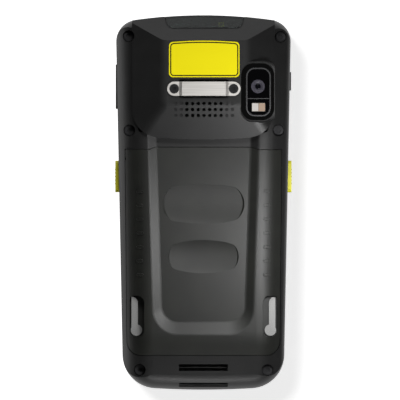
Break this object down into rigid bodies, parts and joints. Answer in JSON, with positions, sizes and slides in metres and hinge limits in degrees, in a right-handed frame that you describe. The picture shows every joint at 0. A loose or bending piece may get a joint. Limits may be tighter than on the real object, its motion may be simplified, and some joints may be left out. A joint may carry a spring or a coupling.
{
  "type": "portable barcode data terminal",
  "caption": "Hand-held barcode data terminal with a raised scanner end, camera, side scan keys and a hinged, latched battery lid.",
  "frame": {"origin": "centre of the front rim, on the plane the terminal lies on when it lies face down", "axes": "+Y along the body towards the scanner end, +Z out of the back, +X to the right seen from the back"},
  "size_m": [0.0746, 0.1585, 0.0289],
  "materials": {
    "case_plastic": "fine textured black polycarbonate",
    "lid_plastic": "satin black polycarbonate",
    "screen_glass": "black printed cover glass",
    "display": "display panel",
    "magnesium": "cast magnesium frame",
    "circuit_board": "green solder mask",
    "tin_plate": "tin-plated sheet",
    "black_part": "black moulded part",
    "clear_plastic": "clear moulded plastic",
    "steel": "stainless steel",
    "gold_contact": "gold-plated contacts",
    "seal_rubber": "black silicone rubber",
    "window_glass": "hard-coated clear window",
    "lens_glass": "coated lens",
    "aimer_yellow": "yellow-green aimer lens",
    "yellow_plate": "plain yellow plate with a black keyline",
    "satin_steel": "satin stainless steel",
    "black_screw": "black zinc screw",
    "gloss_black": "gloss black bezel",
    "dark_glass": "black camera glass",
    "flash_white": "white flash diffuser",
    "battery_wrap": "black battery pack",
    "key_rubber": "black rubber key",
    "yellow_key": "yellow rubber key",
    "switch_part": "tactile switch"
  },
  "bodies": {
    "root": {"front_housing": "case_plastic", "rear_housing": "case_plastic", "scanner_cover": "case_plastic", "touch_glass": "screen_glass", "display_module": "display", "midframe": "magnesium", "main_board": "circuit_board", "keypad_board": "circuit_board", "shield_cans": "tin_plate", "card_holder": "tin_plate", "vibration_motor": "tin_plate", "earpiece": "black_part", "front_camera": "black_part", "status_light_pipe": "clear_plastic", "microphone": "black_part", "usb_port": "steel", "dock_contacts": "gold_contact", "housing_seal": "seal_rubber", "window_gasket": "seal_rubber", "scan_window": "window_glass", "engine_bracket": "steel", "scan_engine": "black_part", "scan_lens": "lens_glass", "illumination_led": "clear_plastic", "aimer_lens": "aimer_yellow", "aimer_barrel": "black_part", "label_plate": "yellow_plate", "strap_bar": "satin_steel", "strap_screws": "black_screw", "housing_screws": "black_screw", "camera_bezel": "gloss_black", "camera_ring": "satin_steel", "camera_glass": "dark_glass", "camera_lens": "lens_glass", "camera_module": "black_part", "flash_led": "flash_white", "speaker_mesh": "black_part", "speaker": "black_part", "hinge_pins": "steel", "battery": "battery_wrap", "battery_contacts": "gold_contact", "scan_switches": "switch_part", "power_switch": "switch_part", "volume_switches": "switch_part"},
    "lid": {"battery_lid": "lid_plastic", "battery_pad": "seal_rubber", "latch_pins": "satin_steel"},
    "latch_lever_left": {"latch_left": "satin_steel"},
    "latch_lever_right": {"latch_right": "satin_steel"},
    "scan_key_l": {"scan_key_left": "yellow_key"},
    "scan_key_r": {"scan_key_right": "yellow_key"},
    "power_button": {"power_key": "key_rubber"},
    "volume_button": {"volume_rocker": "key_rubber"},
    "key_left": {"front_key_left": "key_rubber"},
    "key_middle": {"front_key_middle": "key_rubber"},
    "key_right": {"front_key_right": "key_rubber"}
  },
  "joints": [
    {"name": "lid_hinge", "type": "hinge", "parent": "root", "child": "lid", "pos_m": [0, 0.01845, 0.0164], "axis": [-1, 0, 0], "range_deg": [0, 80]},
    {"name": "latch_turn_left", "type": "hinge", "parent": "lid", "child": "latch_lever_left", "pos_m": [-0.0283, -0.0539, 0.01635], "axis": [0, 0, -1], "range_deg": [0, 10]},
    {"name": "latch_turn_right", "type": "hinge", "parent": "lid", "child": "latch_lever_right", "pos_m": [0.0283, -0.0539, 0.01635], "axis": [0, 0, 1], "range_deg": [0, 10]},
    {"name": "scan_press_left", "type": "slide", "parent": "root", "child": "scan_key_l", "axis": [1, 0, 0], "range_m": [0, 0.0007], "stiffness_N_per_m": 600},
    {"name": "scan_press_right", "type": "slide", "parent": "root", "child": "scan_key_r", "axis": [-1, 0, 0], "range_m": [0, 0.0007], "stiffness_N_per_m": 600},
    {"name": "power_press", "type": "slide", "parent": "root", "child": "power_button", "axis": [-1, 0, 0], "range_m": [0, 0.0004], "stiffness_N_per_m": 600},
    {"name": "volume_rock", "type": "hinge", "parent": "root", "child": "volume_button", "pos_m": [-0.0322, 0.049, 0.0088], "axis": [0, 0, 1], "range_deg": [-1.5, 1.5], "stiffness_Nm_per_rad": 0.2},
    {"name": "front_press_left", "type": "slide", "parent": "root", "child": "key_left", "axis": [0, 0, 1], "range_m": [0, 0.0005], "stiffness_N_per_m": 600},
    {"name": "front_press_middle", "type": "slide", "parent": "root", "child": "key_middle", "axis": [0, 0, 1], "range_m": [0, 0.0005], "stiffness_N_per_m": 600},
    {"name": "front_press_right", "type": "slide", "parent": "root", "child": "key_right", "axis": [0, 0, 1], "range_m": [0, 0.0005], "stiffness_N_per_m": 600}
  ]
}
